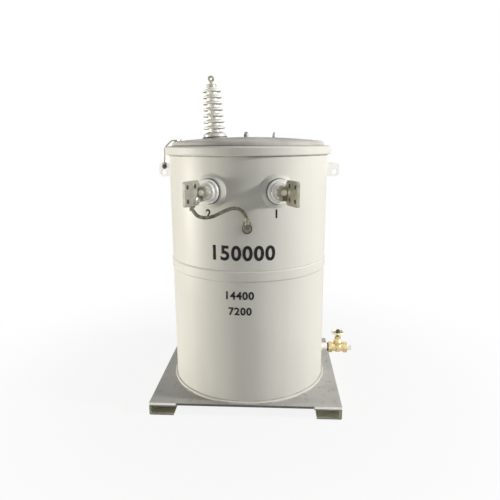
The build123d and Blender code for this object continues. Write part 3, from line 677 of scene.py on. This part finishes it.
def ringOnTank(turn, height, radius, size, flat=None, face=None):
    # where a round boss meets the tank wall; below a flat face it spreads at 45 degrees to its radius
    count = max(weld["fewestRound"], int(2 * math.pi * radius / weld["step"]))
    t = np.linspace(0, 2 * np.pi, count, endpoint=False)
    reach = np.full_like(t, radius)
    if flat:
        for step in range(weld["rounds"]):
            spread = flat + face - np.sqrt(tank["radius"] ** 2 - (reach * np.cos(t)) ** 2)
            reach = np.minimum(spread, radius)
    across, up = reach * np.cos(t), reach * np.sin(t)
    path, outward = standOn(turn, height, across, up, np.sqrt(tank["radius"] ** 2 - across ** 2))
    return beadAlong(path, np.broadcast_to(outward, path.shape), True, size)


def arcBead(radius, height, startTurn, endTurn, size):
    # level arc of bead round the tank axis
    count = max(weld["fewest"], int(abs(endTurn - startTurn) * radius / weld["step"]))
    t = np.linspace(startTurn, endTurn, count)
    path = np.stack([radius * np.sin(t), -radius * np.cos(t), np.full_like(t, height)], -1)
    return beadAlong(path, path * np.array([1, 1, 0]), False, size)


def uprightBead(x, y, low, high, side):
    # straight bead up the tank wall; side is a direction off it
    count = max(weld["fewest"], int((high - low) / weld["step"]))
    z = np.linspace(low, high, count)
    path = np.stack([np.full_like(z, x), np.full_like(z, y), z], -1)
    return beadAlong(path, np.broadcast_to(np.array(side), path.shape), False, weld["radius"])


def lugBeads(lug):
    # two upright beads where a lifting lug meets the tank
    low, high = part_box(lug)
    beads = []
    for y in (low.y, high.y):
        x = math.copysign(math.sqrt(tank["radius"] ** 2 - y ** 2), low.x + high.x)
        beads.append(uprightBead(x, y, low.z, high.z, (x, 0.0, 0.0)))
    return beads


def hangerBeads(hanger):
    # two upright beads where a pole hanger meets the back of the tank
    low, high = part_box(hanger)
    inset = weld["hangerInset"]
    beads = []
    for x in (low.x, high.x):
        y = math.sqrt(tank["radius"] ** 2 - x ** 2)
        beads.append(uprightBead(x, y, low.z + inset, high.z - inset, (0.0, y, 0.0)))
    return beads


# Pressed bosses of the low-voltage bushings; the flat face stands at a distance from the tank axis
pressedBoss = {"radius": 0.058, "flat": 0.047, "face": 0.310, "bead": 0.0015}


def makeTankWelds():
    beads = []
    for side in (-1, 1):
        beads.append(ringOnTank(side * lowVoltage["turn"], lowVoltage["height"], pressedBoss["radius"],
                                pressedBoss["bead"], pressedBoss["flat"], pressedBoss["face"]))
    low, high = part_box("drain_nipple")
    beads.append(ringOnTank(math.pi / 2, (low.z + high.z) / 2, (high.z - low.z) / 2, weld["radius"]))
    for lug in ("left_lifting_lug", "right_lifting_lug"):
        beads += lugBeads(lug)
    for hanger in ("upper_hanger", "lower_hanger"):
        beads += hangerBeads(hanger)
    return addPiece("tankWelds", beads, "tankPaint")


footWeld = {"count": 12, "share": 0.30, "radius": 0.0034}


def makeFootWelds():
    # short stitches that hold the tank's lip to the base plate
    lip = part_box("tank_bottom")[1].x
    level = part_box("base_plate")[1].z
    pitch = 2 * np.pi / footWeld["count"]
    half = pitch * footWeld["share"] / 2
    middles = (np.arange(footWeld["count"]) + 0.5) * pitch
    beads = [arcBead(lip, level, middle - half, middle + half, footWeld["radius"]) for middle in middles]
    return addPiece("footWelds", beads, "platePaint")


makeTankWelds()
makeFootWelds()
print("weld beads laid")


# Ground lead: twisted strands from the left pad to the tank, with a crimped lug at each end

groundLead = {
    "route": [
        (-0.1656, -0.3392, 0.7668), (-0.1572, -0.3388, 0.7501), (-0.1404, -0.3369, 0.7352),
        (-0.1048, -0.3323, 0.7333), (-0.0669, -0.3280, 0.7520), (-0.0333, -0.3251, 0.7658),
        (-0.0057, -0.3233, 0.7610), (0.0103, -0.3215, 0.7400), (0.0134, -0.3202, 0.7190),
    ],
    "strands": 6, "strandRadius": 0.0021, "layRadius": 0.0041, "layLength": 0.046, "step": 0.0012, "sides": 8,
    "width": 0.026, "thickness": 0.003, "tail": 0.026, "hole": 0.00605, "lip": 0.0004,
    "barrel": 0.0075, "barrelHalf": 0.009, "crimps": (-0.004, 0.004), "crimpDepth": 0.0011,
    "crimpSpread": 0.0016, "smoothness": 24, "rimPoints": 72, "rimStart": 0.01,
    "barrelRows": 41, "barrelSides": 28,
}
padBolt = {"across": 0.019, "up": 0.022225, "out": 0.37655}
groundSeat = {"turn": math.radians(2.4), "height": 0.693, "out": 0.313}


def splinePoints(look):
    # points at even steps along a smooth spline whose control points are the route
    route = look["route"]
    curve = bpy.data.curves.new("route", "CURVE")
    curve.dimensions = "3D"
    spline = curve.splines.new("NURBS")
    spline.points.add(len(route) - 1)
    spline.points.foreach_set("co", np.column_stack([route, np.ones(len(route))]).ravel())
    spline.order_u = 3
    spline.use_endpoint_u = True
    spline.resolution_u = look["smoothness"]
    points = meshPoints(meshFromCurve("route", curve)).astype(float)
    run = np.concatenate([[0.0], np.cumsum(np.linalg.norm(np.diff(points, axis=0), axis=1))])
    even = np.linspace(0, run[-1], int(run[-1] / look["step"]))
    return np.stack([np.interp(even, run, column) for column in points.T], -1), even


def twistedStrands(look):
    # each strand winds round the route at the lay radius, once in each lay length; its ends are rounded off
    path, run = splinePoints(look)
    ahead = unit(np.gradient(path, axis=0))
    outward = path * np.array([1, 1, 0])
    side = unit(outward - ahead * (outward * ahead).sum(-1, keepdims=True))
    other = np.cross(ahead, side)
    ends = np.minimum(run, run[-1] - run) / look["strandRadius"]
    radius = look["strandRadius"] * np.sqrt(1 - (1 - np.clip(ends, 0, 1)) ** 2)
    surfaces = []
    for strand in range(look["strands"]):
        turn = 2 * np.pi * (strand / look["strands"] + run / look["layLength"])[:, None]
        around = np.cos(turn) * side + np.sin(turn) * other
        surfaces.append(tubeAlong(path + look["layRadius"] * around, radius, around, look["sides"], False))
    return surfaces


def crimpedLug(look, seat, out, tail):
    # flat tongue, round at its bolt hole and straight beside the tail, and a barrel pressed in at two places
    side = np.cross(tail, out)
    turn = np.linspace(0, 2 * np.pi, look["rimPoints"], endpoint=False) + look["rimStart"]
    half = look["width"] / 2
    straight = np.minimum(half / np.abs(np.cos(turn)), look["tail"] / np.abs(np.sin(turn)))
    rim = np.where(np.sin(turn) > 0, straight, half)
    hole = np.full_like(rim, look["hole"])
    thick, lip = look["thickness"], look["lip"]
    reach = np.stack([hole, hole, rim - lip, rim, rim, rim - lip])
    level = np.array([0, thick, thick, thick - lip, lip, 0])
    flat = np.cos(turn)[:, None] * side + np.sin(turn)[:, None] * tail
    plate = seat + reach[..., None] * flat + level[:, None, None] * out
    along = np.linspace(-1, 1, look["barrelRows"]) * look["barrelHalf"]
    dents = sum(np.exp(-((along - place) / look["crimpSpread"]) ** 2) for place in look["crimps"])
    body = look["barrel"] - look["crimpDepth"] * dents
    body[[0, -1]] -= look["lip"]
    along = np.concatenate([along[:1], along, along[-1:]])
    body = np.concatenate([[0.0], body, [0.0]])
    middle = seat + tail * look["tail"] + out * look["barrel"]
    barrel = turnedAbout(middle, tail, along, body, look["barrelSides"])
    return [(plate.reshape(-1, 3), gridQuads(len(level), len(turn), True, True)), barrel]


def makeGroundLead():
    look = groundLead
    up = np.array([0.0, 0.0, 1.0])
    padTurn = -lowVoltage["turn"]
    padSeat = standOn(padTurn, lowVoltage["height"], -padBolt["across"], -padBolt["up"], padBolt["out"])[0]
    padSide = -np.array([math.cos(padTurn), math.sin(padTurn), 0.0])
    tankSeat, tankOut = standOn(groundSeat["turn"], groundSeat["height"], 0.0, 0.0, groundSeat["out"])
    surfaces = twistedStrands(look)
    surfaces += crimpedLug(look, padSeat, padSide, -up) + crimpedLug(look, tankSeat, tankOut, up)
    return addPiece("groundLead", surfaces, "leadStrand", replaced=("ground_strap",))


makeGroundLead()
print("ground lead twisted")


# Threads: a saw wave along the axis that climbs one pitch in each turn, closed on the axis at both ends

threads = {
    "depth": 0.16, "sides": 24, "rowsPerPitch": 6, "fewestRows": 8, "lift": 0.0002,
    "stud": {"out": 0.3562, "radius": 0.009, "length": 0.0041, "pitch": 0.0016},
    "bandBolt": {"back": 0.0118, "radius": 0.005, "length": 0.0119, "pitch": 0.0015},
    "nipple": {"out": 0.3236, "radius": 0.0168, "length": 0.0053, "pitch": 0.0019},
}


def threadOn(start, axis, look):
    pitch = look["pitch"]
    count = max(threads["fewestRows"], round(look["length"] / pitch * threads["rowsPerPitch"]))
    along = np.linspace(0, look["length"], count)
    turn = np.linspace(0, 1, threads["sides"], endpoint=False)
    wave = np.abs((along[:, None] / pitch - turn) % 1 * 2 - 1)
    body = look["radius"] + threads["lift"] - threads["depth"] * pitch * wave
    ends = np.zeros((1, threads["sides"]))
    along = np.concatenate([along[:1], along, along[-1:]])
    body = np.concatenate([ends, body, ends])
    return turnedAbout(np.array(start), np.array(axis), along, body, threads["sides"])


# Painted shade in the pad holes: dark sleeves line the bores; the left pad's inner lower hole is filled by its
# bolt
padHoles = {
    "radius": 0.00715, "wall": 0.0003, "half": 0.0045, "offset": 0.0145, "pitch": 0.04445, "middle": 0.398775,
    "sides": 32,
}


def shadeSleeve(turn, across, up, out):
    look = padHoles
    seat = standOn(turn, lowVoltage["height"], across, up, out)[0]
    axis = np.array([math.cos(turn), math.sin(turn), 0.0])
    inner = look["radius"] - look["wall"]
    along = np.array([-1, 1, 1, -1, -1]) * look["half"]
    radius = np.array([inner, inner, look["radius"], look["radius"], inner])
    return turnedAbout(seat, axis, along, radius, look["sides"])


def makePadHoleShade():
    look = padHoles
    half = look["pitch"] / 2
    sleeves = []
    for side in (-1, 1):
        turn = side * lowVoltage["turn"]
        for along in (-half, half):
            for up in (-half, half):
                if side < 0 and along < 0 and up < 0:
                    continue
                sleeves.append(shadeSleeve(turn, side * look["offset"], up, look["middle"] + along))
    return addPiece("padHoleShade", sleeves, "darkSteel")


def makeThreads():
    look = threads["stud"]
    bright = []
    for side in (-1, 1):
        start, axis = standOn(side * lowVoltage["turn"], lowVoltage["height"], 0.0, 0.0, look["out"])
        bright.append(threadOn(start, axis, look))
    look = threads["bandBolt"]
    middle = boxMiddle("band_bolt")
    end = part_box("band_bolt")[1].x - look["back"]
    bright.append(threadOn((end, middle.y, middle.z), (1, 0, 0), look))
    look = threads["nipple"]
    low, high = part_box("drain_nipple")
    dark = [threadOn((look["out"], 0, (low.z + high.z) / 2), (1, 0, 0), look)]
    addPiece("boltThreads", bright, "studTin")
    addPiece("nippleThread", dark, "gasketRubber")


makePadHoleShade()
makeThreads()
print("bores and threads cut")


# Markings: plain numbers painted on the tank

marks = {
    "lift": 0.0003,
    "thickness": 0.0003,
    "boldness": 0.030,
    "spacing": 1.12,
    "slice": 0.004,
    "rows": [
        ("markLarge", "150000", 0.053, 0.000, 0.607),
        ("markUpper", "14400", 0.029, -0.014, 0.457),
        ("markLower", "7200", 0.029, -0.014, 0.400),
        ("markLeft", "2", 0.029, -0.120, 0.740),
        ("markRight", "1", 0.029, 0.110, 0.740),
    ],
}


def flatNumber(words, tall):
    # number as a flat mesh, its height and middle set, cut into narrow upright slices
    curve = bpy.data.curves.new("number", "FONT")
    curve.body = words
    curve.offset = marks["boldness"]
    curve.space_character = marks["spacing"]
    mesh = meshFromCurve("number", curve)
    flat = meshPoints(mesh)
    low, high = flat.min(0), flat.max(0)
    flat = (flat - (low + high) / 2) * (tall / (high[1] - low[1]))
    mesh.vertices.foreach_set("co", flat.ravel())
    half = flat[:, 0].max()
    work = bmesh.new()
    work.from_mesh(mesh)
    for cut in np.arange(-half, half, marks["slice"]):
        shape = work.verts[:] + work.edges[:] + work.faces[:]
        bmesh.ops.bisect_plane(work, geom=shape, plane_co=(cut, 0, 0), plane_no=(1, 0, 0))
    work.to_mesh(mesh)
    work.free()
    return mesh


def makeMark(name, words, tall, across, height):
    # flat points bent round the tank: x becomes an arc, y the height
    mesh = flatNumber(words, tall)
    x, y = meshPoints(mesh).T[:2]
    turn = math.asin(across / tank["radius"]) + x / tank["radius"]
    reach = tank["radius"] + marks["lift"]
    bent = np.stack([reach * np.sin(turn), -reach * np.cos(turn), height + y], -1)
    mesh.vertices.foreach_set("co", bent.ravel())
    mesh.materials.clear()
    mesh.materials.append(finishes["markInk"])
    piece = addObject(name, mesh)
    skin = piece.modifiers.new("skin", "SOLIDIFY")
    skin.thickness = marks["thickness"]
    skin.offset = 0.0
    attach(piece, fixedBody)


for row in marks["rows"]:
    makeMark(*row)
print("numbers painted")


# Camera and light

shot = {
    "place": (0.11013, -1.85306, 0.96777),
    "yaw": 0.0568,
    "pitch": 0.2201,
    "roll": -0.005,
    "focal": 473.1,
    "picture": 500,
    "sensor": 36.0,
}


def makeCamera():
    yaw, pitch, roll = shot["yaw"], shot["pitch"], shot["roll"]
    ahead = Vector((-math.sin(yaw) * math.cos(pitch), math.cos(yaw) * math.cos(pitch), -math.sin(pitch)))
    level = Vector((math.cos(yaw), math.sin(yaw), 0))
    upright = level.cross(ahead)
    right = level * math.cos(roll) + upright * math.sin(roll)
    up = upright * math.cos(roll) - level * math.sin(roll)
    lens = bpy.data.cameras.new("camera")
    lens.sensor_width = shot["sensor"]
    lens.lens = shot["focal"] * shot["sensor"] / shot["picture"]
    camera = addObject("camera", lens)
    turn = Matrix((right, up, -ahead)).transposed().to_4x4()
    camera.matrix_world = Matrix.Translation(shot["place"]) @ turn
    bpy.context.scene.camera = camera


# Each lamp stands at an azimuth from the front, an elevation and a distance from the tank's middle
lampAim = Vector((0, 0, 0.55))
lamps = {
    "rightKey": {
        "turn": 80, "rise": 19, "away": 5.0, "size": (0.5, 0.5), "power": 212, "colour": (1.0, 0.99, 0.955),
    },
    "leftKey": {
        "turn": -82, "rise": -3, "away": 4.0, "size": (1.2, 0.9), "power": 146, "colour": (1.0, 0.96, 0.87),
    },
    "topSoft": {
        "turn": 10, "rise": 82, "away": 3.0, "size": (2.4, 2.4), "power": 12, "colour": (0.97, 0.99, 1.0),
    },
}


def makeLamp(name):
    look = lamps[name]
    turn, rise = math.radians(look["turn"]), math.radians(look["rise"])
    back = Vector((math.sin(turn) * math.cos(rise), -math.cos(turn) * math.cos(rise), math.sin(rise)))
    light = bpy.data.lights.new(name, "AREA")
    light.shape = "RECTANGLE"
    light.size, light.size_y = look["size"]
    light.energy = look["power"]
    light.color = look["colour"]
    lamp = addObject(name, light)
    lamp.location = lampAim + back * look["away"]
    lamp.rotation_euler = back.to_track_quat("Z", "Y").to_euler()


sky = {"white": (1, 1, 1, 1), "whiteStrength": 1.0, "fill": (0.97, 0.99, 1.0, 1), "fillStrength": 0.21}


def seenRays(wire):
    # rays from the camera, and rays that a mirror or glass sends on
    seen = wire.node("LightPath", out="Is Camera Ray")
    mirrored = wire.node("LightPath", out="Is Glossy Ray") + wire.node("LightPath", out="Is Transmission Ray")
    return seen, mirrored


def makeSky():
    # white where it is seen or mirrored, a weak cool fill elsewhere
    world = bpy.data.worlds.new("sky")
    bpy.context.scene.world = world
    world.use_nodes = True
    world.node_tree.nodes.clear()
    wire = Wire(world.node_tree)
    seen, mirrored = seenRays(wire)
    fill = wire.node("Background", None, {"Color": sky["fill"], "Strength": sky["fillStrength"]})
    white = wire.node("Background", None, {"Color": sky["white"], "Strength": sky["whiteStrength"]})
    mixed = wire.node("MixShader", None, {"Fac": larger(seen, mirrored), 1: fill, 2: white})
    wire.node("OutputWorld", None, {"Surface": mixed})


ground = {
    "reach": 30.0, "lines": 3, "pale": (0.62, 0.62, 0.61, 1),
    "shade": 0.12, "near": 0.45, "far": 1.5, "frontFade": 2.0,
}


def makeGround():
    # pale floor, white where it is seen, or mirrored from the front; near the object it lets some of the
    # shadow through
    material, wire, place = startFinish("groundPale")
    seen, mirrored = seenRays(wire)
    away = wire.node("VectorMath", {"operation": "LENGTH"}, {0: place}, out="Value")
    shade = wire.node("MapRange", {"interpolation_type": "SMOOTHSTEP"}, {
        "Value": away,
        "From Min": ground["near"],
        "From Max": ground["far"],
        "To Min": ground["shade"],
        "To Max": 0.0,
    })
    front = ramp(0.5 - partOf(place, 1) / ground["frontFade"], (0.0, 0.0), (1.0, 1.0))
    matte = wire.node("BsdfDiffuse", None, {"Color": ground["pale"]})
    white = wire.node("Emission", None, {"Color": sky["white"], "Strength": sky["whiteStrength"]})
    whitened = larger(seen, mirrored * front) * (1 - shade)
    mixed = wire.node("MixShader", None, {"Fac": whitened, 1: matte, 2: white})
    wire.node("OutputMaterial", None, {"Surface": mixed})
    t = np.linspace(-ground["reach"], ground["reach"], ground["lines"])
    x, y = np.meshgrid(t, t)
    points = np.stack([x, y, np.zeros_like(x)], -1).reshape(-1, 3)
    mesh = bpy.data.meshes.new("ground")
    mesh.from_pydata(points.tolist(), [], gridQuads(len(t), len(t), False, False).tolist())
    mesh.materials.append(material)
    addObject("ground", mesh)


makeCamera()
for lampName in lamps:
    makeLamp(lampName)
makeSky()
makeGround()
bpy.context.scene.view_settings.view_transform = "Standard"
print("camera and light set")
